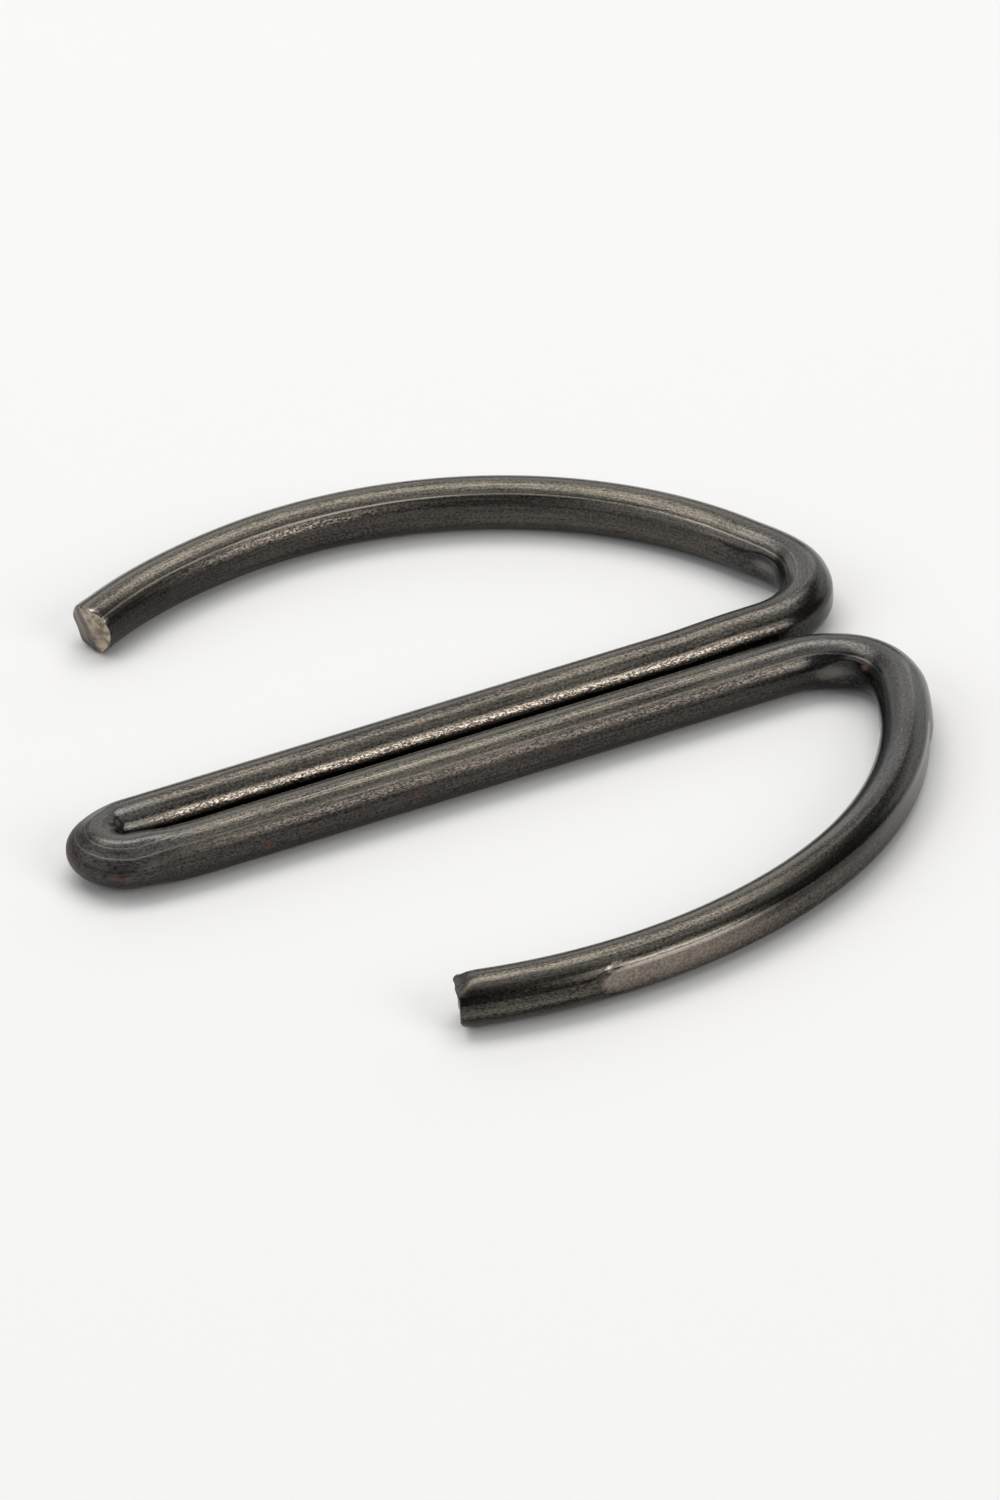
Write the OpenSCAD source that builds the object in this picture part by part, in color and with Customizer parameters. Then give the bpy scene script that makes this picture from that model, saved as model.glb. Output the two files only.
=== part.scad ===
// Retaining ring bent from one length of round spring wire, flat in one plane.
// Two curved arms make most of a circle. Each arm turns in through a tight corner to
// one of two straight bars, which cross the ring side by side and end in a hairpin.
// Origin: centre of the ring at half the wire's height. +X points along the bars from
// the hairpin to the corners, +Y to the far arm and +Z up, square to the ring.

/* [Wire] */
// Diameter of the wire
wire_d = 4; // [3:0.1:5]

/* [Ring] */
// Bend radius of the arms, to the middle of the wire
ring_r = 31.6; // [29:0.1:40]
// Distance of the far arm's centre from the line between the bars
far_arm_shift = 2; // [0:0.1:3]
// Turn of the far arm from its corner to its end
far_arm_turn = 111; // [98:0.5:116]
// Turn of the near arm from its corner, before it opens out
near_arm_turn = 52; // [45:0.5:56]
// Bend radius of the opened part of the near arm
near_open_r = 41; // [36:0.5:50]
// Turn of the opened part of the near arm
near_open_turn = 37; // [28:0.5:40]

/* [Bars and bends] */
// Gap between the two bars
bar_gap = 1.2; // [0.8:0.1:2]
// Distance of the hairpin's centre from the centre of the ring
hairpin_reach = 27.7; // [24:0.1:28]
// Bend radius of the two corners, to the middle of the wire
corner_r = 5.75; // [4.5:0.05:7]

/* [Die marks] */
// Depth pressed flat along the inner side of each arm
inner_flat = 0.15; // [0.1:0.05:0.7]
// Depth pressed flat along the outer side of each arm
outer_flat = 0.3; // [0.1:0.05:0.6]
// Length of each arm next to its corner that the dies leave round
plain_start = 4; // [4:0.5:8]
// Length of the far arm's end that the dies leave round
far_plain_end = 9; // [6:0.5:12]
// Length of the near arm's end that the dies leave round
near_plain_end = 11.5; // [8:0.5:14]
// Slope at which each pressed flat runs out of the wire
ramp_slope = 14; // [14:1:25]
// Height of the small shoulder where each flat ends
shoulder = 0.03; // [0.02:0.01:0.05]
// Depth that the bending pin has pressed into the inside of each corner
pin_dent = 0.45; // [0.2:0.05:0.6]
// Radius of the bending pin, as a share of the radius inside the corner
pin_share = 0.8; // [0.6:0.05:0.9]
// What the hairpin and the corners swell by, on the wire's radius
bend_swell = 0.03; // [0.03:0.01:0.06]

/* [Sheared ends] */
// Tilt of the facet that the shear leaves on the far arm's end face
facet_tilt = 24; // [10:1:35]
// Share of the far end face that the facet takes
facet_share = 0.34; // [0.2:0.02:0.5]
// Length of the lip that stands proud of the near arm's end face
lip_length = 0.45; // [0.2:0.05:0.8]
// Height of the lip, down from the top of the wire
lip_height = 1.4; // [1:0.1:1.8]
// Slope of the top of the wire where the shear has rolled it over
roll_slope = 14; // [8:1:20]
// Length of the wire's top that is rolled over
roll_length = 1.9; // [1:0.1:2.5]

/* [Hidden] */
$fn = 96;
steel_colour = [0.36, 0.35, 0.33];
wire_r = wire_d / 2;
// Half the distance between the bars' centre lines, which is the hairpin's bend radius
bar_y = (bar_gap + wire_d) / 2;
// Height of a cutter that reaches well past the wire above and below
cut_h = 2 * wire_d;
// Length by which a swollen bend laps over the wire that it joins
lap = 0.15;
// The near arm's centre lies on the line between the bars
near_arm_shift = 0;
// Start of each arm, where its corner meets it
far_start = corner_angle(far_arm_shift);
near_start = corner_angle(near_arm_shift);

// A corner touches its bar and, from within, its arm's circle of ring_r
function corner_y() = bar_y + corner_r;
function corner_x(shift) = sqrt(pow(ring_r - corner_r, 2) - pow(corner_y() - shift, 2));
function corner_angle(shift) = atan2(corner_y() - shift, corner_x(shift));
// Angle that a length of wire takes up on a bend of radius r, to a hundredth of a
// degree, so that one stretch of an arm starts exactly where the last one ends
function turn_of(length, r) = round(length / r * 18000 / PI) / 100;

// Round section, swollen by a little where the wire is bent tightly
module round_section(swell = 0) {
    circle(r = wire_r + swell);
}

// Section of both arms where the dies have pressed them, with the bend's centre at -X
module pressed_section() {
    intersection() {
        round_section();
        translate([inner_flat - wire_r, -wire_d])
            square([wire_d - inner_flat - outer_flat, 2 * wire_d]);
    }
}

// The child section bent about the origin, from angle a0 to angle a1
module bend(r, a0, a1) {
    rotate_extrude(start = a0, angle = a1 - a0)
        translate([r, 0])
            children();
}

// Moves its children to angle a on a bend, with +X along the wire
// and +Y towards the outside of the bend
module at_bend(r, a) {
    rotate([0, 0, a])
        translate([r, 0, 0])
            mirror([1, -1, 0])
                children();
}

// What a die takes off the round wire just past a flat of this depth on its +Y side
module ramp(depth) {
    translate([0, wire_r - depth + shoulder, -cut_h / 2])
        rotate([0, 0, ramp_slope])
            translate([-wire_d, 0, 0])
                cube([6 * wire_d, wire_d, cut_h]);
}

// Both dies' ramps, for flats that lie on the -X side and end at the origin
module run_out() {
    ramp(outer_flat);
    mirror([0, 1, 0])
        ramp(inner_flat);
}

// Straight bar along +X, from the hairpin to the corner of an arm with this shift
module bar(shift) {
    translate([-hairpin_reach, bar_y, 0])
        rotate([0, 90, 0])
            cylinder(r = wire_r, h = hairpin_reach + corner_x(shift));
}

// Corner from the bar's end to the start of the arm, dented inside by the bending pin
module corner(shift) {
    lap_turn = turn_of(lap, corner_r);
    a0 = -90 - lap_turn;
    a1 = corner_angle(shift) + lap_turn;
    inside_r = corner_r - wire_r;
    pin_r = pin_share * inside_r;
    translate([corner_x(shift), corner_y(), 0])
        difference() {
            bend(corner_r, a0, a1)
                round_section(bend_swell);
            rotate([0, 0, (a0 + a1) / 2])
                translate([inside_r + pin_dent - pin_r, 0, 0])
                    cylinder(r = pin_r, h = cut_h, center = true);
        }
}

// Round start of an arm on a bend from angle a0 to angle a1
module plain_start_of_arm(r, a0, a1) {
    difference() {
        bend(r, a0, a1)
            round_section();
        at_bend(r, a1)
            mirror([1, 0, 0])
                run_out();
    }
}

// Round end of an arm on a bend from angle a0 to angle a1, less what its children cut off
module plain_end_of_arm(r, a0, a1) {
    difference() {
        bend(r, a0, a1)
            round_section();
        at_bend(r, a0)
            run_out();
        at_bend(r, a1)
            children();
    }
}

// Facet of the far end face, on the outside of the bend
module far_end_facet() {
    translate([0, wire_r - facet_share * wire_d, -cut_h / 2])
        rotate([0, 0, facet_tilt])
            cube([wire_d, wire_d, cut_h]);
}

// What the shear takes off the near end: all below the lip, and a slope on top of it
module near_end_shear() {
    translate([-lip_length, -wire_d, wire_r - lip_height - cut_h])
        cube([wire_d, 2 * wire_d, cut_h]);
    translate([-roll_length, -wire_d, wire_r])
        rotate([0, roll_slope, 0])
            cube([wire_d, 2 * wire_d, wire_d]);
}

// Hairpin that joins the two bars
module hairpin() {
    translate([-hairpin_reach, 0, 0])
        bend(bar_y, 90 - turn_of(lap, bar_y), 270 + turn_of(lap, bar_y))
            round_section(bend_swell);
}

// Far bar, corner and arm. The arm is drawn from its corner on.
module far_side() {
    press_from = turn_of(plain_start, ring_r);
    press_to = far_arm_turn - turn_of(far_plain_end, ring_r);
    bar(far_arm_shift);
    corner(far_arm_shift);
    translate([0, far_arm_shift, 0])
        rotate([0, 0, far_start]) {
            plain_start_of_arm(ring_r, 0, press_from);
            bend(ring_r, press_from, press_to)
                pressed_section();
            plain_end_of_arm(ring_r, press_to, far_arm_turn)
                far_end_facet();
        }
}

// Near bar, corner and arm, drawn as their mirror image. The arm is drawn from
// the place where it opens out, back to its corner and on to its end.
module near_side() {
    press_from = turn_of(plain_start, ring_r) - near_arm_turn;
    press_to = near_open_turn - turn_of(near_plain_end, near_open_r);
    bar(near_arm_shift);
    corner(near_arm_shift);
    rotate([0, 0, near_start + near_arm_turn]) {
        plain_start_of_arm(ring_r, -near_arm_turn, press_from);
        bend(ring_r, press_from, 0)
            pressed_section();
        translate([ring_r - near_open_r, 0, 0]) {
            bend(near_open_r, 0, press_to)
                pressed_section();
            plain_end_of_arm(near_open_r, press_to, near_open_turn)
                near_end_shear();
        }
    }
}

module retaining_ring() {
    color(steel_colour) {
        hairpin();
        far_side();
        mirror([0, 1, 0])
            near_side();
    }
}

retaining_ring();
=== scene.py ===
# Retaining ring bent from one length of drawn spring wire: the wire with the marks of
# the dies and pins that formed it, its two sheared ends, and a plain studio round it.
import math

import bmesh
import bpy
import numpy as np
from mathutils import Matrix, Vector


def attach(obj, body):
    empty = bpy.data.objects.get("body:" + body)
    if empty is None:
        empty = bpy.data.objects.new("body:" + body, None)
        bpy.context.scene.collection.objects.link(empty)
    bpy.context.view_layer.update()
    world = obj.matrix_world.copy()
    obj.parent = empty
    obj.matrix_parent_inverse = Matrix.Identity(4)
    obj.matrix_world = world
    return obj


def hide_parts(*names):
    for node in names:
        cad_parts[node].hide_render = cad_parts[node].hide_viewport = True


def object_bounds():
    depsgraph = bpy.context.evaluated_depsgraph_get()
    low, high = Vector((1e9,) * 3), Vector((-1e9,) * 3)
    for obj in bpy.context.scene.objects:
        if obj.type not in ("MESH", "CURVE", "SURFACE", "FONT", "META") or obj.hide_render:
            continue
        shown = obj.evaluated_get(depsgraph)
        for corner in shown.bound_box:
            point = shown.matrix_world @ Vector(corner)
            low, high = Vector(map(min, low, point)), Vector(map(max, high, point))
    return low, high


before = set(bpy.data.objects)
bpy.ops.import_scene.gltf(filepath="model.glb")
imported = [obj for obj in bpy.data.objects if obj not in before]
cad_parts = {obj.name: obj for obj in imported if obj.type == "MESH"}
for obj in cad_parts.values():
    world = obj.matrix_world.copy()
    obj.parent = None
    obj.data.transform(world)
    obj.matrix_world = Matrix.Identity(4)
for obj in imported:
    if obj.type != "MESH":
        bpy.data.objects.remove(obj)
cad_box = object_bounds()

MM = 0.001

# ---------------------------------------------------------------- sizes, in millimetres

WIRE_R = 2.0
# Bend radius of both arms, and distance of the far arm's centre from the line
# between the bars
RING_R = 31.6
FAR_SHIFT = 2.0
# Degrees that the arms turn through. The near arm then opens out to a wider bend
FAR_TURN = 111.0
NEAR_TURN = 52.0
OPEN_R = 41.0
OPEN_TURN = 37.0
# Half the distance between the bars, which is the hairpin's bend radius, and distance
# of the hairpin's centre from the ring's centre
BAR_Y = 2.6
HAIRPIN_REACH = 27.7
# Bend radius of the corners, and distance of their centres from the middle line
CORNER_R = 5.75
CORNER_Y = BAR_Y + CORNER_R


def corner_x(shift):
    """Distance of a corner's centre from the ring's centre, along the bars."""
    return math.sqrt((RING_R - CORNER_R) ** 2 - (CORNER_Y - shift) ** 2)


def corner_angle(shift):
    """Angle, in degrees, at which a corner meets its arm."""
    return math.degrees(math.atan2(CORNER_Y - shift, corner_x(shift)))


FAR_START = corner_angle(FAR_SHIFT)
NEAR_START = corner_angle(0)

# Each stretch of the wire from the near end to the far end: its name, length and
# curvature, which is above zero where the wire turns to the left
STRETCHES = (
    ("near_opened", math.radians(OPEN_TURN) * OPEN_R, 1 / OPEN_R),
    ("near_arm", math.radians(NEAR_TURN) * RING_R, 1 / RING_R),
    ("near_corner", math.radians(90 + NEAR_START) * CORNER_R, 1 / CORNER_R),
    ("near_bar", HAIRPIN_REACH + corner_x(0), 0),
    ("hairpin", math.pi * BAR_Y, -1 / BAR_Y),
    ("far_bar", HAIRPIN_REACH + corner_x(FAR_SHIFT), 0),
    ("far_corner", math.radians(90 + FAR_START) * CORNER_R, 1 / CORNER_R),
    ("far_arm", math.radians(FAR_TURN) * RING_R, 1 / RING_R),
)
# Places along the wire are counted from its near end. The near arm reaches to 55, its
# corner to 66, the near bar to 118, the hairpin to 126, the far bar to 179, the far
# corner to 190 and the far arm to 251
STARTS = {}
WIRE_LENGTH = 0.0
for name, length, bend in STRETCHES:
    STARTS[name] = WIRE_LENGTH
    WIRE_LENGTH += length


def hump(x, middle, reach):
    """Smooth hump: 1 at the middle, 0 at this reach to either side and beyond."""
    t = np.clip(np.abs(x - middle) / reach, 0, 1)
    return (1 - t * t) ** 2


def rise(x, start, end):
    """Smooth step from 0 at start to 1 at end."""
    t = np.clip((x - start) / (end - start), 0, 1)
    return t * t * (3 - 2 * t)


def window(x, start, full, fade, end):
    """Rises from 0 at start to 1 at full, and falls again from fade to end."""
    return rise(x, start, full) * (1 - rise(x, fade, end))


def walk(x, y, heading, bend, distance):
    """Place and heading after this much more wire of one curvature."""
    if not bend:
        return x + distance * math.cos(heading), y + distance * math.sin(heading), heading
    turned = heading + bend * distance
    onward = (np.sin(turned) - math.sin(heading)) / bend
    aside = (np.cos(turned) - math.cos(heading)) / bend
    return x + onward, y - aside, turned


def spine(along):
    """Centre points and headings of the wire at these distances from its near end."""
    open_angle = -math.radians(NEAR_START + NEAR_TURN)
    end_angle = open_angle - math.radians(OPEN_TURN)
    shift = RING_R - OPEN_R
    x = shift * math.cos(open_angle) + OPEN_R * math.cos(end_angle)
    y = shift * math.sin(open_angle) + OPEN_R * math.sin(end_angle)
    heading = end_angle + math.pi / 2
    points = np.zeros((len(along), 2))
    headings = np.zeros(len(along))
    for name, length, bend in STRETCHES:
        # Each stretch runs on to the far end, until the next one takes over from it
        here = along >= STARTS[name]
        reached = walk(x, y, heading, bend, along[here] - STARTS[name])
        points[here, 0], points[here, 1], headings[here] = reached
        x, y, heading = walk(x, y, heading, bend, length)
    return points, headings


def direction_at(along):
    """Direction of the wire at this distance from its near end."""
    heading = spine(np.array([along]))[1][0]
    return np.array([math.cos(heading), math.sin(heading), 0])


# ---------------------------------------------------------------- meshes and objects


def note(mesh, name, values):
    """Writes a number, or a row of three, for each vertex under this name."""
    kind, field = ("FLOAT", "value") if values.ndim == 1 else ("FLOAT_VECTOR", "vector")
    column = mesh.attributes.new(name, kind, "POINT")
    column.data.foreach_set(field, values.astype(np.float32).ravel())


def noted(data, field, width):
    """Reads a row of this many numbers for each vertex."""
    values = np.zeros(len(data) * width, np.float32)
    data.foreach_get(field, values)
    return values.reshape(-1, width).astype(float)


def add_object(name, data):
    """Puts a mesh, a light or a camera into the scene."""
    made = bpy.data.objects.new(name, data)
    bpy.context.scene.collection.objects.link(made)
    return made


# ---------------------------------------------------------------- node trees, written as sums


class Term:
    """A value in a node tree. Sums on it add that tree's Math nodes."""

    def __init__(self, tree, socket):
        self.tree = tree
        self.socket = socket

    def out(self, name):
        """Another output of the same node."""
        return Term(self.tree, self.socket.node.outputs[name])

    def __add__(self, other):
        return self.tree.math("ADD", self, other)

    def __radd__(self, other):
        return self.tree.math("ADD", other, self)

    def __sub__(self, other):
        return self.tree.math("SUBTRACT", self, other)

    def __rsub__(self, other):
        return self.tree.math("SUBTRACT", other, self)

    def __mul__(self, other):
        return self.tree.math("MULTIPLY", self, other)

    def __rmul__(self, other):
        return self.tree.math("MULTIPLY", other, self)

    def __truediv__(self, other):
        return self.tree.math("DIVIDE", self, other)

    def __rtruediv__(self, other):
        return self.tree.math("DIVIDE", other, self)

    def __abs__(self):
        return self.tree.math("ABSOLUTE", self)


class Tree:
    """Adds nodes to a shader or geometry tree."""

    def __init__(self, node_tree):
        self.nodes = node_tree.nodes
        self.links = node_tree.links

    def node(self, kind, settings=None, inputs=None, out=0):
        """Adds a node of this kind: its settings first, then its sockets."""
        made = self.nodes.new(kind)
        for key, value in (settings or {}).items():
            setattr(made, key, value)
        for key, value in (inputs or {}).items():
            if isinstance(value, Term):
                self.links.new(value.socket, made.inputs[key])
            else:
                made.inputs[key].default_value = value
        return Term(self, made.outputs[out]) if len(made.outputs) else made

    def math(self, operation, *values):
        """Number worked out from these numbers."""
        return self.node("ShaderNodeMath", {"operation": operation}, dict(enumerate(values)))

    def vector(self, operation, *values):
        """Vector worked out from these vectors."""
        inputs = dict(enumerate(values))
        return self.node("ShaderNodeVectorMath", {"operation": operation}, inputs)

    def scaled(self, vector, factor):
        """Vector times a number."""
        inputs = {0: vector, "Scale": factor}
        return self.node("ShaderNodeVectorMath", {"operation": "SCALE"}, inputs)


# ---------------------------------------------------------------- the swept wire

# Facets round the wire, and length of wire between two rows of them
SIDES = 72
ROW_STEP = 0.2
# Radius that rounds the rim of each end face, and rows over the rim and the face
END_FILLET = 0.16
FILLET_ROWS = 6
CAP_ROWS = 11

# Depths that the dies pressed flat along the inner and outer side of the arms
INNER_FLAT = 0.15
OUTER_FLAT = 0.3
# Lengths of the arms that the dies left round, and over which the flats run out
PLAIN_START = 4.0
NEAR_PLAIN_END = 10.6
FAR_PLAIN_END = 8.6
RUN_OUT = 1.6
# Dent that the bending pin left inside each corner: its depth, its reach along the
# wire to either side, and how far the far one lies past the middle of its corner
PIN_DENT = 0.34
PIN_REACH = 3.8
FAR_PIN_LAG = 6.0

# Where hand and spring-back have left the wire a little to the right of its true
# arcs: how far, and the middle and reach of that stretch along the wire
SWAYS = (
    (0.13, 41, 13),
    (0.16, 60, 3.5),
    (0.26, 118.6, 5.5),
    (-0.3, 178, 7),
    (-0.16, 184.4, 7),
    (0.2, 190.5, 4),
)

# What the sweep reads from the path, and the finished wire no longer needs
PATH_NUMBERS = ("along", "share", "wide", "full", "inner_press", "outer_press")
PATH_VECTORS = ("spine", "right")


def wire_rows():
    """Rows of the sweep from end to end: distance along the wire and share of its radius."""
    body = np.linspace(END_FILLET, WIRE_LENGTH - END_FILLET, int(WIRE_LENGTH / ROW_STEP))
    rounding = np.linspace(0, math.pi / 2, FILLET_ROWS + 1)[1:]
    fillet = END_FILLET * (1 - np.sin(rounding))
    rim = 1 - END_FILLET / WIRE_R * (1 - np.cos(rounding))
    face = (1 - END_FILLET / WIRE_R) * np.linspace(1, 0, CAP_ROWS)
    end_along = np.concatenate([fillet, np.zeros(CAP_ROWS)])
    end_share = np.concatenate([rim, face])
    along = np.concatenate([end_along[::-1], body, WIRE_LENGTH - end_along])
    share = np.concatenate([end_share[::-1], np.ones(len(body)), end_share])
    return along, share


def sway(along):
    """How far the wire lies to the right of its true arcs, most of all at the far tip."""
    wavy = sum(amount * hump(along, middle, reach) for amount, middle, reach in SWAYS)
    return wavy - 0.01 * rise(along, 192, 200) + 0.75 * rise(along, 236, 256)


def flats(along):
    """1 on each arm where the dies have pressed it, with a short run-out at either end."""
    near = (NEAR_PLAIN_END - RUN_OUT, STARTS["near_corner"] - PLAIN_START)
    far = (STARTS["far_arm"] + PLAIN_START, WIRE_LENGTH - FAR_PLAIN_END + RUN_OUT)
    return sum(
        window(along, start, start + RUN_OUT, end - RUN_OUT, end) for start, end in (near, far)
    )


def wire_path():
    """One point for each row, with what the sweep needs to know there."""
    along, share = wire_rows()
    points, headings = spine(along)
    right = np.stack([np.sin(headings), -np.cos(headings)], axis=1)
    points += right * sway(along)[:, None]
    near_pin = 0.5 * (STARTS["near_corner"] + STARTS["near_bar"])
    far_pin = 0.5 * (STARTS["far_corner"] + STARTS["far_arm"])
    dents = hump(along, near_pin, PIN_REACH) + hump(along, far_pin + FAR_PIN_LAG, PIN_REACH)
    # The far corner's bend makes the wire a little wider, and the hairpin's narrower
    wide = 1 + 0.04 * hump(along, far_pin, 6) - 0.03 * hump(along, 120.5, 4)
    # The hairpin has squeezed the wire's inner side up, so its throat is nearly filled
    full = window(along, 115.5, 118.6, 125.0, 127.2)
    pressed = flats(along)
    inner_press = INNER_FLAT * pressed + PIN_DENT * dents
    outer_press = OUTER_FLAT * pressed
    mesh = bpy.data.meshes.new("wire_path")
    # The sweep only needs a chain of points here, and moves them to the spine itself
    chain = [(0.01 * row, 0, 0) for row in range(len(along))]
    mesh.from_pydata(chain, [(row, row + 1) for row in range(len(along) - 1)], [])
    for name, values in zip(PATH_NUMBERS, (along, share, wide, full, inner_press, outer_press)):
        note(mesh, name, values)
    for name, values in zip(PATH_VECTORS, (points, right)):
        note(mesh, name, np.column_stack([values, np.zeros(len(along))]))
    return mesh


def sweep_tree(sockets):
    """Sweeps the round section along the path, and presses it where the dies did."""
    tree_data = bpy.data.node_groups.new("drawn_wire", "GeometryNodeTree")
    interface = tree_data.interface
    interface.new_socket("Geometry", in_out="INPUT", socket_type="NodeSocketGeometry")
    ids = {}
    for name, kind in sockets.items():
        ids[name] = interface.new_socket(name, in_out="INPUT", socket_type=kind).identifier
    interface.new_socket("Geometry", in_out="OUTPUT", socket_type="NodeSocketGeometry")
    t = Tree(tree_data)
    given = t.node("NodeGroupInput")

    def named(name, kind="FLOAT"):
        return t.node("GeometryNodeInputNamedAttribute", {"data_type": kind}, {"Name": name})

    def store(geometry, name, value):
        return t.node(
            "GeometryNodeStoreNamedAttribute",
            {"data_type": "FLOAT_VECTOR", "domain": "POINT"},
            {"Geometry": geometry, "Name": name, "Value": value},
        )

    # A tube of one unit radius, whose vertices know their place on its section
    line = t.node("GeometryNodeMeshToCurve", inputs={"Mesh": given})
    circle = t.node(
        "GeometryNodeCurvePrimitiveCircle",
        {"mode": "RADIUS"},
        {"Resolution": given.out("Sides"), "Radius": 1.0},
    )
    circle = store(circle, "section", t.node("GeometryNodeInputPosition"))
    tube = t.node("GeometryNodeCurveToMesh", inputs={"Curve": line, "Profile Curve": circle})

    # Where the hairpin has squeezed the wire, the section's inner side is fuller
    section = t.node("ShaderNodeSeparateXYZ", inputs={0: named("section", "FLOAT_VECTOR")})
    side_x = section.out("X")
    side_z = section.out("Y")
    squeeze = given.out("Squeeze")
    full = named("full") * t.math("GREATER_THAN", side_x, 0.0)
    square_x = t.math("POWER", abs(side_x), squeeze)
    square_z = t.math("SIGN", side_z) * t.math("POWER", abs(side_z), squeeze)
    side_x = side_x + (square_x - side_x) * full
    side_z = side_z + (square_z - side_z) * full
    # The hairpin's outer side is drawn thinner
    outer_half = t.math("MINIMUM", t.math("MAXIMUM", side_x * -2.0, 0.0), 1.0)
    side_z = side_z * (1.0 - outer_half * named("full") * given.out("Thinning"))

    # The dies' flats and the pins' dents cut the section off, with softened edges
    radius = given.out("Wire radius")
    softness = given.out("Edge softness")
    share = named("share")
    across = side_x * radius * named("wide")
    across = t.math("SMOOTH_MAX", across, named("inner_press") - radius, softness)
    across = t.math("SMOOTH_MIN", across, radius - named("outer_press"), softness) * share
    up = side_z * radius * share

    # The vertex keeps its place on the straight wire, and moves to that on the bent one
    straight = t.node("ShaderNodeCombineXYZ", inputs={0: named("along"), 1: across, 2: up})
    aside = t.scaled(named("right", "FLOAT_VECTOR"), across)
    bent = t.vector("ADD", named("spine", "FLOAT_VECTOR"), aside)
    bent = t.vector("ADD", bent, t.node("ShaderNodeCombineXYZ", inputs={2: up}))
    placed = t.scaled(bent, given.out("Unit"))
    tube = store(tube, "straight", straight)
    moved = t.node("GeometryNodeSetPosition", inputs={"Geometry": tube, "Position": placed})
    real = t.node("GeometryNodeRealizeInstances", inputs={"Geometry": moved})
    dressed = t.node(
        "GeometryNodeSetMaterial", inputs={"Geometry": real, "Material": given.out("Steel")}
    )
    t.node("NodeGroupOutput", inputs={0: dressed})
    return tree_data, ids


def swept_wire(steel):
    """Runs the sweep on the path, and gives the tube as a plain mesh."""
    given = {
        "Wire radius": ("NodeSocketFloat", WIRE_R),
        "Sides": ("NodeSocketInt", SIDES),
        "Edge softness": ("NodeSocketFloat", 0.1),
        "Squeeze": ("NodeSocketFloat", 0.54),
        "Thinning": ("NodeSocketFloat", 0.22),
        "Unit": ("NodeSocketFloat", MM),
        "Steel": ("NodeSocketMaterial", steel),
    }
    path = add_object("wire_path", wire_path())
    sweep, ids = sweep_tree({name: kind for name, (kind, value) in given.items()})
    modifier = path.modifiers.new("drawn_wire", "NODES")
    modifier.node_group = sweep
    for name, (kind, value) in given.items():
        modifier[ids[name]] = value
    depsgraph = bpy.context.evaluated_depsgraph_get()
    mesh = bpy.data.meshes.new_from_object(
        path.evaluated_get(depsgraph), preserve_all_data_layers=True, depsgraph=depsgraph
    )
    bpy.data.objects.remove(path)
    mesh.name = "bent_wire"
    return mesh


# ---------------------------------------------------------------- places on the wire's skin

# How far outwards the border of the far face's facet runs for each millimetre up
FACET_SLANT = 0.36


class Skin:
    """Where each vertex lies on the straight wire, in millimetres and degrees."""

    def __init__(self, mesh):
        self.along, self.across, self.up = noted(mesh.attributes["straight"].data, "vector", 3).T
        self.share = noted(mesh.attributes["share"].data, "value", 1)[:, 0]
        self.back = WIRE_LENGTH - self.along
        self.slant = self.across - FACET_SLANT * self.up
        # Round the wire: 0 is right of its travel, 90 on top and 180 on the left
        self.angle = np.degrees(np.arctan2(self.up, self.across)) % 360
        # The same from -180 to 180, for what lies about the right side
        self.turn = self.off(0)

    def off(self, angle):
        """Degrees round the wire from this angle, from -180 to 180."""
        return (self.angle - angle + 180) % 360 - 180

    def band(self, angle, reach):
        """Soft band along the wire at this angle, with its reach to either side."""
        return hump(self.off(angle), 0, reach)

    def side(self, start, full, fade, end):
        """Soft stripe along the wire between these angles from 0 to 360."""
        return window(self.angle, start, full, fade, end)

    def stretch(self, start, full, fade, end):
        """Soft stretch of the wire between these distances from its near end."""
        return window(self.along, start, full, fade, end)

    def patches(self, rows):
        """Soft oval patches. A row is a strength, a place and reach along, and both round."""
        return sum(
            strength * hump(self.along, place, reach) * self.band(angle, spread)
            for strength, place, reach, angle, spread in rows
        )


# ---------------------------------------------------------------- the two sheared ends

# Length of wire over which the cuts at its ends fade out
END_FADE = 2.6
# What is taken off the ends besides their forms
NEAR_CUT = -0.04
FAR_CUT = 0.32
# Lean of the far face's facet, and height of the burrs on that face's rim
FACET_LEAN = math.tan(math.radians(22.5))
BURR_HEIGHT = 0.13


def near_cut(skin):
    """How far back the near end is sheared: most below its lip, and a little on its nose."""
    across, up = skin.across, skin.up
    depth = 0.24 * (1 - rise(up, 1.1, 1.8)) + 0.2 * rise(up, 1.75, 2.0)
    depth += 0.36 * rise(-up, 0.9, 2.0) - 0.05 * across
    ripple = 0.025 * np.sin(2.3 * across + 0.7) + 0.02 * np.sin(5.1 * across - 2.0 * up)
    return (depth + ripple + NEAR_CUT) * (1 - rise(skin.along, 0, END_FADE))


def near_roll(skin):
    """How far down the shear has rolled the near end's top, and most of all its nose."""
    slope = 0.26 * (1 - rise(skin.along, -0.3, 2.0)) * rise(skin.up, 0.6, 2.0)
    nose = 0.36 * (1 - rise(skin.along, 0, 1.1)) * rise(skin.up, 1.2, 2.0)
    return slope + nose


def far_burrs(skin):
    """How far the burrs stand up here and there along the far face's inner rim."""
    burrs = skin.band(104, 11) + 0.9 * skin.band(140, 9) + 0.45 * skin.band(118, 70)
    return BURR_HEIGHT * burrs * rise(skin.share, 0.86, 0.97) * (1 - rise(skin.back, 0, 0.5))


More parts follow.
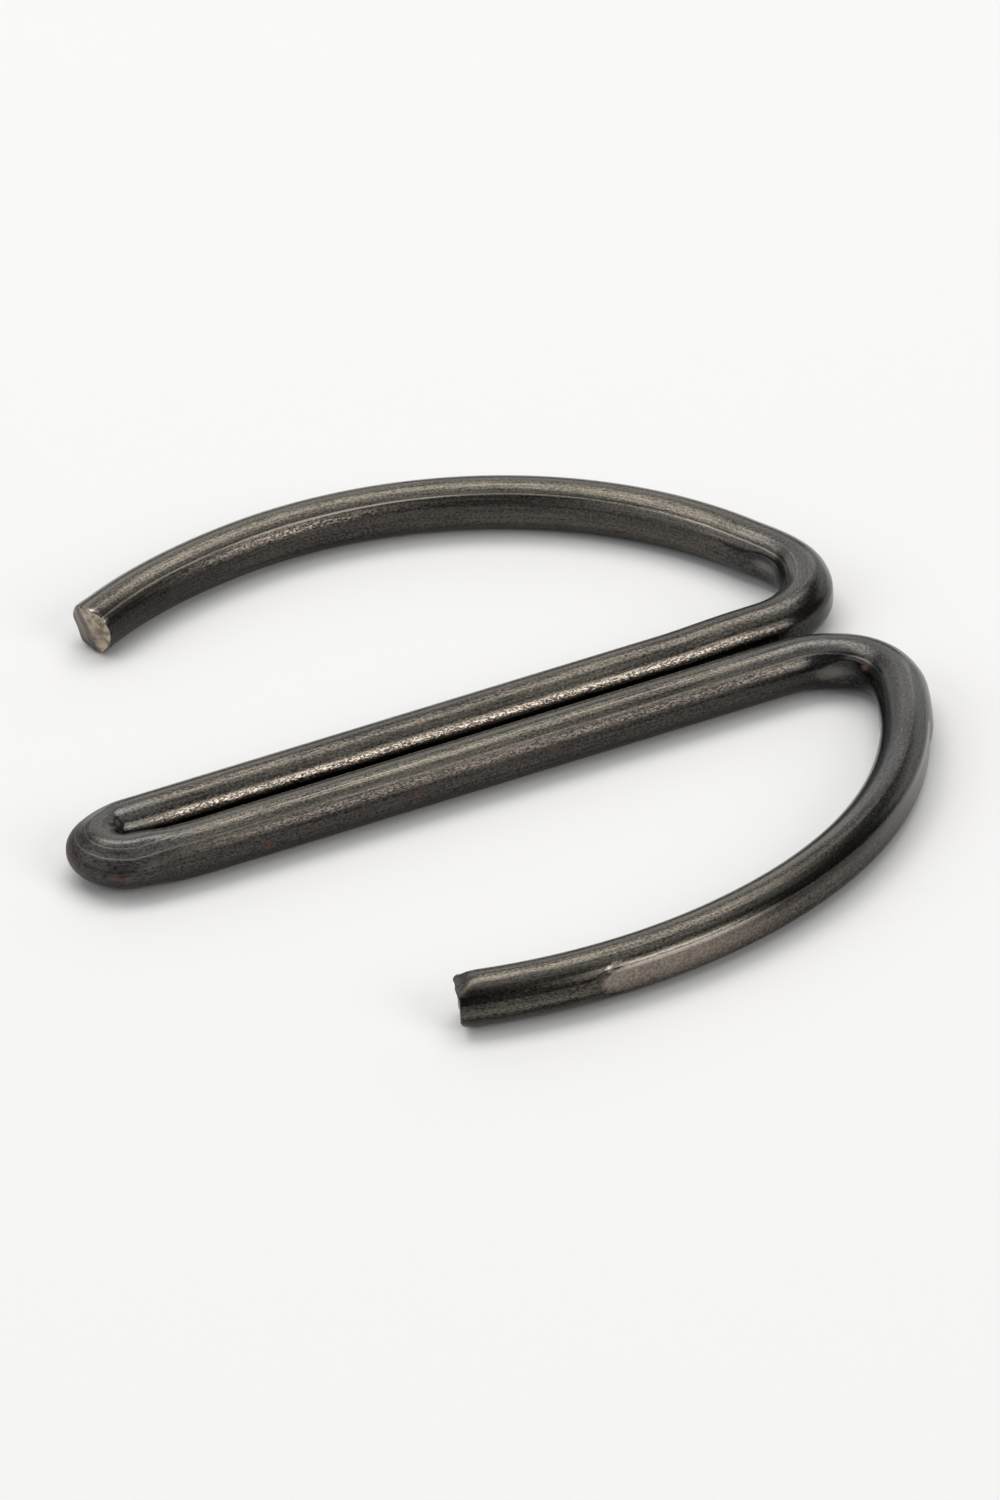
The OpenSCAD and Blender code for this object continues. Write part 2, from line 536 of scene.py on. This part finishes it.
def far_cut(skin):
    """How far back the far end is cut: a leaning facet beside a torn and domed face."""
    across, up = skin.across, skin.up
    facet = FACET_LEAN * np.maximum(skin.slant + 0.4, 0) * rise(skin.slant, -0.5, 0.1)
    facet += 0.2 * rise(across, 0.9, 2.0)
    dome = 0.05 * (across**2 + up**2) / WIRE_R**2
    tear = 0.05 * np.sin(2.6 * up + 2.1 * across)
    tear += 0.035 * np.sin(5.5 * across - 2.5 * up + 1.0)
    tear += 0.03 * hump(across, -0.5, 0.9) * hump(up, -0.1, 1.0)
    depth = (facet + dome + tear + FAR_CUT) * (1 - rise(skin.back, 0, END_FADE))
    return depth - far_burrs(skin)


# ---------------------------------------------------------------- marks of making and wear, and painted light and shade

# Rows of patches: a strength, the middle and reach along the wire in millimetres from
# its near end, and the middle and reach round it in degrees
PIN_SPOTS = (
    (1.0, 62.6, 2.2, 178, 22),
    (1.0, 190.6, 1.7, 175, 20),
)
# Patches of painted shade, inside the corners, on lower sides and over some highlights
SHADE_PATCHES = (
    (0.6, 17, 8, 46, 10),
    (0.8, 30, 11, 74, 18),
    (0.3, 43, 15, 0, 34),
    (0.7, 51, 12, 110, 18),
    (1.0, 59.4, 4.6, 150, 28),
    (0.5, 65, 6, 178, 44),
    (0.9, 180.5, 7, 34, 24),
    (0.5, 181, 9, -52, 34),
    (0.9, 190, 6, 160, 34),
)
RUST = (
    (1.2, 58.8, 0.7, 150, 10),
    (0.6, 86.2, 0.7, 168, 11),
    (0.5, 97.0, 0.5, 170, 8),
    (1.0, 109.1, 0.55, 192, 11),
    (0.6, 119.8, 0.45, 179, 9),
    (0.2, 123.2, 1.8, 160, 30),
)


def pressed(skin):
    """Bare metal where the dies have pressed the outer side of the arms."""
    # The near flat starts in the shape of a spoon and weakens along the arm, first in
    # its upper half. It is fainter towards its lower edge, which is painted shade
    reach = 34 * np.sqrt(rise(skin.along, 9.7, 12.2))
    near = rise(skin.along, 9.9, 10.5) * (1 - 0.8 * rise(skin.along, 14, 29))
    near *= 1 - rise(skin.along, 36, 50)
    near *= 1 - rise(np.abs(skin.turn + 1), reach - 2.5, reach + 2.5)
    near *= 1 - rise(skin.along, 19, 26) * rise(skin.turn, 6, 20)
    # Painted shade: fainter towards the flat's lower edge
    near *= 0.3 + 0.7 * rise(skin.turn, -34, -2)
    far = window(skin.back, 9.0, 10.4, 38, 56) * (1 - rise(np.abs(skin.turn - 1), 28, 34))
    return np.maximum(near, 0.8 * far)


def bright(skin):
    """The near flat's upper edge, burnished and with a painted highlight, a painted highlight on
    the curl that starts it, and painted glints on the burrs' tips.
    """
    edge = skin.band(29.5, 7.8) * skin.stretch(11.2, 12.6, 18, 26)
    curl = hump(np.hypot(skin.along - 11.4, (skin.turn - 35) / 13) - 0.7, 0, 0.24)
    curl *= skin.along < 11.9
    glints = (0.8 * skin.band(104, 7) + skin.band(140, 7)) * rise(skin.share, 0.88, 0.95)
    glints *= 1 - rise(skin.back, 0.15, 0.5)
    return np.maximum.reduce([edge, 0.5 * curl, glints])


def sheared(skin):
    """The two end faces."""
    return 1 - rise(skin.share, 0.93, 0.985)


def torn(skin):
    """Torn part of the far face, which runs down from its top beside the smooth facet."""
    border = skin.slant + 0.14 * np.sin(2.9 * skin.up + 1.2)
    part = 1 - 0.95 * rise(border, -0.8, 0.35)
    part *= 1 - 0.5 * hump(skin.across, -1.1, 0.8) * hump(skin.up, -0.3, 0.9)
    return part * (skin.along > 0.5 * WIRE_LENGTH)


def rubbed(skin):
    """Where the bending pins have rubbed the insides of the corners."""
    return np.clip(1.2 * skin.patches(PIN_SPOTS), 0, 1)


def scuffed(skin):
    """Scuffs along the far bar's and the near bar's upper slopes, and on the far arm."""
    scuffs = skin.band(27.5, 15) * skin.stretch(127, 132, 170, 184)
    scuffs += 0.65 * skin.band(147, 14) * skin.stretch(63, 69, 106, 118)
    return scuffs + 0.9 * skin.band(148, 15) * hump(skin.along, 231, 16)


def soot(skin):
    """Painted shade: darker patches inside the corners, on lower sides and over some highlights,
    less where the pins have rubbed.
    """
    near_arm = np.minimum(1.3 * hump(skin.along, 29.5, 13) * skin.band(39, 36), 0.85)
    near_tip = 0.85 * (1 - rise(skin.along, 8, 12)) * skin.band(41, 34)
    near_rim = 0.2 * (1 - rise(skin.along, 0.3, 2.0))
    far_corner = skin.stretch(174, 184, 188, 194) * skin.band(-14, 66)
    far_tip = 0.7 * rise(skin.along, 230, 244) * skin.band(172, 44)
    shading = near_arm + near_tip + near_rim + far_corner + far_tip + skin.patches(SHADE_PATCHES)
    return np.clip(shading - skin.patches(PIN_SPOTS), 0, 1)


def clean(skin):
    """Painted highlights and painted shade in bands along the wire, mostly on upper sides. Above
    zero it is lighter, below zero darker.
    """
    along = skin.along
    near_bar = 0.26 * skin.band(79, 28) - 0.22 * skin.band(103.5, 8)
    far_bar = 0.24 * skin.band(100, 20) - 0.2 * skin.band(78, 10)
    near_tip = skin.band(-2, 16) + 2 * skin.band(-38, 22) + skin.band(66, 16)
    near_arm = skin.band(66, 12) + skin.band(138, 12)
    far_arm = skin.band(202, 36) + 0.7 * skin.band(150, 14)
    total = near_bar * skin.stretch(66, 76, 112, 120)
    total += far_bar * skin.stretch(122, 130, 168, 180)
    total += 0.4 * near_tip * (1 - rise(along, 8, 12))
    total += 0.5 * hump(along, 16, 7) * skin.band(-40, 20)
    total += 0.7 * hump(along, 24, 17) * skin.band(105, 17)
    total += 0.35 * near_arm * hump(along, 50, 12)
    total += 0.5 * far_arm * skin.stretch(193, 199, 214, 224)
    return total + 0.3 * skin.band(82, 18) * rise(along, 192, 200)


def calm(skin):
    """Where the bends have smoothed the draw lines out."""
    near_arm = skin.stretch(28, 40, 64, 74)
    hairpin = skin.stretch(113, 117, 127, 131)
    return np.clip(near_arm + hairpin + hump(skin.along, 187, 11), 0, 1)


def dull(skin):
    """The side below the draw line, the hairpin's crown and the near end's upper rim."""
    below = skin.stretch(62, 72, 124, 129) + 0.7 * rise(skin.along, 193, 200)
    below *= skin.side(134.5, 139, 235, 260)
    crown = 0.75 * skin.stretch(117, 121, 125, 129) * skin.side(85, 112, 235, 260)
    near_rim = 0.4 * (1 - rise(skin.along, 0.5, 2.4)) * skin.side(20, 50, 120, 160)
    return np.maximum.reduce([below, crown, near_rim])


def rust(skin):
    """A few rust spots."""
    return np.clip(1.3 * skin.patches(RUST), 0, 1)


MARKS = (pressed, bright, sheared, torn, rubbed, scuffed, soot, clean, calm, dull, rust)


def finish_wire(mesh):
    """Closes the tube, shears its ends, and notes where each mark lies."""
    work = bmesh.new()
    work.from_mesh(mesh)
    bmesh.ops.remove_doubles(work, verts=work.verts, dist=1e-7)
    bmesh.ops.recalc_face_normals(work, faces=work.faces)
    work.to_mesh(mesh)
    work.free()
    skin = Skin(mesh)
    co = noted(mesh.vertices, "co", 3) / MM
    co += near_cut(skin)[:, None] * direction_at(0.0)
    co -= far_cut(skin)[:, None] * direction_at(WIRE_LENGTH)
    co[:, 2] -= near_roll(skin)
    mesh.vertices.foreach_set("co", (co * MM).astype(np.float32).ravel())
    for mark in MARKS:
        note(mesh, mark.__name__, mark(skin))
    for name in PATH_NUMBERS + PATH_VECTORS + ("section",):
        mesh.attributes.remove(mesh.attributes[name])
    mesh.polygons.foreach_set("use_smooth", np.ones(len(mesh.polygons), bool))
    mesh.update()


# ---------------------------------------------------------------- the steel


def rgba(red, green, blue):
    """Opaque colour."""
    return (red, green, blue, 1.0)


SCALE_DARK = rgba(0.0175, 0.017, 0.017)
SCALE_OLIVE = rgba(0.144, 0.135, 0.106)
SCALE_BROWN = rgba(0.162, 0.141, 0.12)
SCALE_GREY = rgba(0.146, 0.143, 0.138)
DULL_DARK = rgba(0.024, 0.023, 0.0225)
DULL_LIGHT = rgba(0.105, 0.096, 0.089)
# Painted shade
PAINTED_SHADE_BLACK = rgba(0.014, 0.0135, 0.0135)
# Painted highlight where the draw lines' ridges catch the light
PAINTED_LINE_HIGHLIGHT = rgba(0.5, 0.46, 0.38)
SCUFFED_METAL = rgba(0.38, 0.325, 0.285)
PRESSED_DARK = rgba(0.16, 0.137, 0.115)
PRESSED_LIGHT = rgba(0.3, 0.255, 0.215)
RUBBED_METAL = rgba(0.15, 0.14, 0.125)
FACET_DARK = rgba(0.085, 0.071, 0.063)
FACET_LIGHT = rgba(0.15, 0.126, 0.112)
TORN_DARK = rgba(0.24, 0.205, 0.15)
TORN_LIGHT = rgba(0.64, 0.53, 0.435)
TORN_GRIT = rgba(0.12, 0.1, 0.08)
# Burnished metal, also used for painted highlights and glints
BURNISHED_AND_GLINT = rgba(0.55, 0.5, 0.44)
RUST_BROWN = rgba(0.13, 0.043, 0.02)


class SteelTree(Tree):
    """Shader tree of the wire, with the places, noises and marks that its layers share."""

    def __init__(self, node_tree):
        super().__init__(node_tree)
        self.nodes.clear()
        self.straight = self.node(
            "ShaderNodeAttribute", {"attribute_name": "straight"}, out="Vector"
        )
        place = self.node("ShaderNodeSeparateXYZ", inputs={0: self.straight})
        self.along = place.out("X")
        self.up = place.out("Z")
        self.angle = self.math("ARCTAN2", self.up, place.out("Y")) * math.degrees(1)
        # Long streaks and fine hairs run along the wire, grain and pits are nearly round
        self.streaks = self.noise((0.07, 4.5), detail=3.0, roughness=0.6, shift=7.0)
        self.hair = self.noise((0.35, 13.0), detail=2.0, roughness=0.6, shift=3.0)
        self.grain = self.noise((4.6, 7.5), detail=2.5, roughness=0.6, shift=11.0)
        self.blotch = self.noise((0.16, 0.5), detail=3.0, roughness=0.6, shift=23.0)
        self.pits = self.noise((5.0, 7.0), detail=1.0, roughness=0.5, shift=31.0)
        self.patches = self.noise((1.1, 1.3), detail=3.0, roughness=0.6, shift=5.0)
        self.marks = {mark.__name__: self.mark(mark.__name__) for mark in MARKS}
        self.lively = 1.0 - self.marks["calm"] * 0.6
        self.ridge, self.upper_ridge = self.draw_lines()
        self.pressed = self.marks["pressed"] * self.span(
            self.grain + (self.blotch - 0.5) * 0.5, 0.3, 0.55, 0.75, 1.0
        )
        self.rust = self.rust_and_freckles()

    def mark(self, name):
        """Strength of one of the marks that the mesh carries."""
        return self.node("ShaderNodeAttribute", {"attribute_name": name}, out="Fac")

    def noise(self, stretch, detail, roughness, shift=0.0):
        """Noise whose grains are 1 / stretch millimetres long, along and across the wire."""
        scaled = self.vector("MULTIPLY", self.straight, (stretch[0], stretch[1], stretch[1]))
        moved = self.vector("ADD", scaled, (shift, shift, shift))
        inputs = {"Vector": moved, "Scale": 1.0, "Detail": detail, "Roughness": roughness}
        return self.node("ShaderNodeTexNoise", inputs=inputs)

    def span(self, value, low, high, start=0.0, end=1.0):
        """Value mapped from low..high to start..end, and held there."""
        names = ("Value", "From Min", "From Max", "To Min", "To Max")
        inputs = dict(zip(names, (value, low, high, start, end)))
        return self.node("ShaderNodeMapRange", inputs=inputs)

    def mix(self, share, first, second):
        """Colour between two colours. Sockets 6 and 7 are the node's colours A and B."""
        inputs = {"Factor": share, 6: first, 7: second}
        return self.node("ShaderNodeMix", {"data_type": "RGBA"}, inputs, out=2)

    def line(self, angle, width):
        """1 on a draw line at this angle round the wire, 0 a width of degrees off it."""
        return self.span(abs(self.angle - angle) / width, 1.0, 0.2)

    def draw_lines(self):
        """The ridge that the drawing die has left all along, and a fainter one above it."""
        along, span = self.along, self.span
        wander = span(along, 186.0, 198.0) * span(along, 226.0, 212.0)
        ridge = self.line(133.5 - wander * 2.0, 3.2)
        ridge = ridge * span(along, 50.0, 58.0) * span(along, 190.0, 200.0, 0.4, 1.0)
        ridge = ridge * span(abs(along - 122.3), 4.0, 9.0, 0.45, 1.0)
        upper = self.line(107.0, 3.0) * span(along, 64.0, 74.0) * span(along, 196.0, 188.0)
        return ridge, upper

    def rust_and_freckles(self):
        """The rust spots, and freckles where pits and blotches meet."""
        spots = self.marks["rust"] * self.span(self.grain, 0.36, 0.52)
        freckles = self.span(self.pits, 0.72, 0.78) * self.span(self.blotch, 0.5, 0.62) * 0.4
        return self.math("MAXIMUM", spots, freckles)

    def dark_scale(self):
        """Colour of the thin dark scale, streaked along the wire in olive and brown."""
        bands = self.noise((0.018, 1.1), detail=2.0, roughness=0.55)
        tone = (
            0.5
            + (bands - 0.5) * 0.7
            + (self.streaks - 0.5) * 0.9 * self.lively
            + (self.hair - 0.5) * 0.9 * self.lively
            + (self.grain - 0.5) * 2.3 * (0.6 + self.lively * 0.4)
            + (self.blotch - 0.5) * 0.6
            # Painted shade: lighter on the upper side, darker below
            + (self.span(self.up, -0.6, 1.6) - 0.7) * 0.3
            # Painted highlights and painted shade in bands along the wire
            + self.marks["clean"]
        )
        hues = self.noise((0.3, 1.6), detail=2.0, roughness=0.6, shift=41.0)
        light = self.mix(self.span(hues, 0.4, 0.6), SCALE_OLIVE, SCALE_BROWN)
        light = self.mix(self.marks["calm"] * 0.8, light, SCALE_GREY)
        return self.mix(self.span(tone, 0.05, 1.15), SCALE_DARK, light)

    def dulled_and_sooted(self, colour):
        """Dull speckle below the draw line, and painted shade over all."""
        speckle = self.grain * 0.6 + self.streaks * 0.25 + self.hair * 0.15
        dull_colour = self.mix(self.span(speckle, 0.38, 0.62), DULL_DARK, DULL_LIGHT)
        colour = self.mix(self.marks["dull"] * 0.8, colour, dull_colour)
        return self.mix(self.marks["soot"] * 0.75, colour, PAINTED_SHADE_BLACK)

    def lined_and_scuffed(self, colour):
        """Painted highlight on the draw lines, broken up by the streaks, and bare metal on the
        scuffs.
        """
        broken = self.span(self.hair * 0.5 + self.streaks * 0.5, 0.34, 0.54, 0.4, 1.0)
        lines = (self.ridge * 0.85 + self.upper_ridge * 0.12) * broken
        colour = self.mix(lines, colour, PAINTED_LINE_HIGHLIGHT)
        specks = self.noise((4.0, 9.0), detail=2.0, roughness=0.65, shift=53.0)
        scuffs = self.marks["scuffed"]
        colour = self.mix(scuffs * 0.25, colour, SCALE_DARK)
        scuffs = scuffs * self.span(specks + (self.hair - 0.5) * 0.3, 0.46, 0.59)
        return self.mix(scuffs * 0.95, colour, SCUFFED_METAL)

    def pressed_and_rubbed(self, colour):
        """Bare metal on the dies' flats, and where the pins have rubbed."""
        flat = self.mix(self.span(self.grain, 0.3, 0.7), PRESSED_DARK, PRESSED_LIGHT)
        colour = self.mix(self.pressed, colour, flat)
        return self.mix(self.marks["rubbed"] * 0.75, colour, RUBBED_METAL)

    def cut_faces(self, colour):
        """The end faces: smooth where they were sheared, pale and gritty where they tore."""
        smooth = self.mix(self.span(self.grain, 0.3, 0.7), FACET_DARK, FACET_LIGHT)
        ragged = self.mix(self.span(self.patches, 0.38, 0.58), TORN_DARK, TORN_LIGHT)
        ragged = self.mix(self.span(self.grain, 0.35, 0.65, 0.3, 0.0), ragged, TORN_GRIT)
        face = self.mix(self.marks["torn"], smooth, ragged)
        return self.mix(self.marks["sheared"], colour, face)

    def burnish_glints_and_rust(self, colour):
        """Burnished edges with painted highlights and glints, and rust on top of everything."""
        edges = self.marks["bright"] * self.span(self.grain, 0.3, 0.5, 0.45, 1.0)
        colour = self.mix(edges, colour, BURNISHED_AND_GLINT)
        return self.mix(self.rust, colour, RUST_BROWN)

    def roughness(self):
        """Roughest on rust, on the dull side and on the end faces."""
        return (
            0.22
            + (self.streaks - 0.5) * 0.16
            + (self.grain - 0.5) * 0.2
            + self.rust * 0.4
            + self.marks["sheared"] * 0.16
            + self.pressed * 0.1
            - self.marks["rubbed"] * 0.05
            + self.marks["dull"] * 0.24
        )

    def relief(self):
        """Height of the surface, in millimetres."""
        torn_face = self.marks["torn"] * self.marks["sheared"]
        return (
            (self.streaks - 0.5) * 0.012 * self.lively
            + (self.hair - 0.5) * 0.004 * self.lively
            + (self.grain - 0.5) * 0.008
            + (self.grain - 0.5) * (self.marks["scuffed"] * 0.008 + torn_face * 0.03)
            + (self.patches - 0.5) * torn_face * 0.2
            + self.ridge * 0.005
            + self.upper_ridge * 0.005
            - self.span(self.pits, 0.64, 0.74) * 0.002
        )


def spring_steel():
    """Drawn wire under a thin dark scale: draw lines, grain, pressed and sheared metal."""
    material = bpy.data.materials.new("spring_steel")
    material.use_nodes = True
    t = SteelTree(material.node_tree)
    colour = t.dulled_and_sooted(t.dark_scale())
    colour = t.lined_and_scuffed(colour)
    colour = t.pressed_and_rubbed(colour)
    colour = t.cut_faces(colour)
    colour = t.burnish_glints_and_rust(colour)
    bump = t.node(
        "ShaderNodeBump", inputs={"Strength": 1.0, "Distance": MM, "Height": t.relief()}
    )
    shader = t.node(
        "ShaderNodeBsdfPrincipled",
        inputs={
            "Base Color": colour,
            "Roughness": t.roughness(),
            "Metallic": 1.0 - t.rust * 0.85,
            "Normal": bump,
        },
    )
    t.node("ShaderNodeOutputMaterial", inputs={"Surface": shader})
    return material


# ---------------------------------------------------------------- the retaining ring

wire_mesh = swept_wire(spring_steel())
finish_wire(wire_mesh)
wire = add_object("bent_wire", wire_mesh)
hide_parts("retaining_ring")
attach(wire, "root")

# ---------------------------------------------------------------- the studio, in metres

FLOOR_HALF = 4.0
FLOOR_WHITE = rgba(0.83, 0.83, 0.83)
WORLD_WHITE = rgba(0.96, 0.98, 1.0)
WORLD_STRENGTH = 0.15
WARM = (1.0, 0.97, 0.92)
COOL = (0.975, 0.985, 1.0)
# Each softbox: name, azimuth, elevation, distance, width, height, radiance and tint
SOFTBOXES = (
    ("key_softbox", 27, 29, 1.5, 0.80, 0.72, 3.7, WARM),
    ("top_softbox", 168, 65, 1.55, 1.9, 0.80, 2.6, WARM),
    ("over_softbox", 120, 80, 1.6, 2.4, 1.8, 0.85, COOL),
    ("left_softbox", -100, 34, 1.6, 2.0, 0.9, 1.25, COOL),
    ("back_softbox", 165, 28, 1.6, 1.8, 0.75, 1.1, COOL),
    ("low_softbox", 116, 14, 1.6, 1.4, 0.7, 0.65, COOL),
)
CAMERA_AZIMUTH = -23.14
CAMERA_ELEVATION = 32.58
CAMERA_ROLL = -4.08
CAMERA_DISTANCE = 1.0
CAMERA_LENS = 328.74
CAMERA_AIM = Vector((0.00117, -0.00200, 0.0))


def outward(azimuth, elevation):
    """Direction out from the ring. Azimuth 0 is towards -Y and 90 towards +X."""
    az, el = math.radians(azimuth), math.radians(elevation)
    return Vector((math.sin(az) * math.cos(el), -math.cos(az) * math.cos(el), math.sin(el)))


def add_floor():
    """Plain pale floor that the ring lies on."""
    material = bpy.data.materials.new("floor_white")
    material.use_nodes = True
    shader = material.node_tree.nodes["Principled BSDF"]
    shader.inputs["Base Color"].default_value = FLOOR_WHITE
    shader.inputs["Roughness"].default_value = 0.9
    shader.inputs["Specular IOR Level"].default_value = 0.2
    corners = [(-1, -1), (1, -1), (1, 1), (-1, 1)]
    mesh = bpy.data.meshes.new("floor")
    mesh.from_pydata(
        [(x * FLOOR_HALF, y * FLOOR_HALF, cad_box[0].z) for x, y in corners], [], [(0, 1, 2, 3)]
    )
    mesh.materials.append(material)
    add_object("floor", mesh)


def add_softbox(name, azimuth, elevation, distance, width, height, radiance, tint):
    """Soft light that faces the ring."""
    data = bpy.data.lights.new(name, "AREA")
    data.shape = "RECTANGLE"
    data.size = width
    data.size_y = height
    data.color = tint
    data.energy = radiance * math.pi * width * height
    light = add_object(name, data)
    light.location = distance * outward(azimuth, elevation)
    light.rotation_euler = light.location.to_track_quat("Z", "Y").to_euler()


def add_world():
    """Faint even light from all round."""
    world = bpy.data.worlds.new("studio")
    world.use_nodes = True
    background = world.node_tree.nodes["Background"]
    background.inputs["Color"].default_value = WORLD_WHITE
    background.inputs["Strength"].default_value = WORLD_STRENGTH
    bpy.context.scene.world = world


def add_camera():
    """Long lens that looks down on the ring from its near left."""
    away = outward(CAMERA_AZIMUTH, CAMERA_ELEVATION)
    right = outward(CAMERA_AZIMUTH + 90, 0)
    facing = Matrix((right, away.cross(right), away)).transposed()
    facing = facing @ Matrix.Rotation(math.radians(CAMERA_ROLL), 3, "Z")
    data = bpy.data.cameras.new("camera")
    data.sensor_width = 36.0
    data.lens = CAMERA_LENS
    data.clip_start = 0.01
    data.clip_end = 20.0
    camera = add_object("camera", data)
    camera.matrix_world = (
        Matrix.Translation(CAMERA_AIM + CAMERA_DISTANCE * away) @ facing.to_4x4()
    )
    bpy.context.scene.camera = camera


add_floor()
for softbox in SOFTBOXES:
    add_softbox(*softbox)
add_world()
add_camera()
bpy.context.scene.view_settings.view_transform = "Standard"
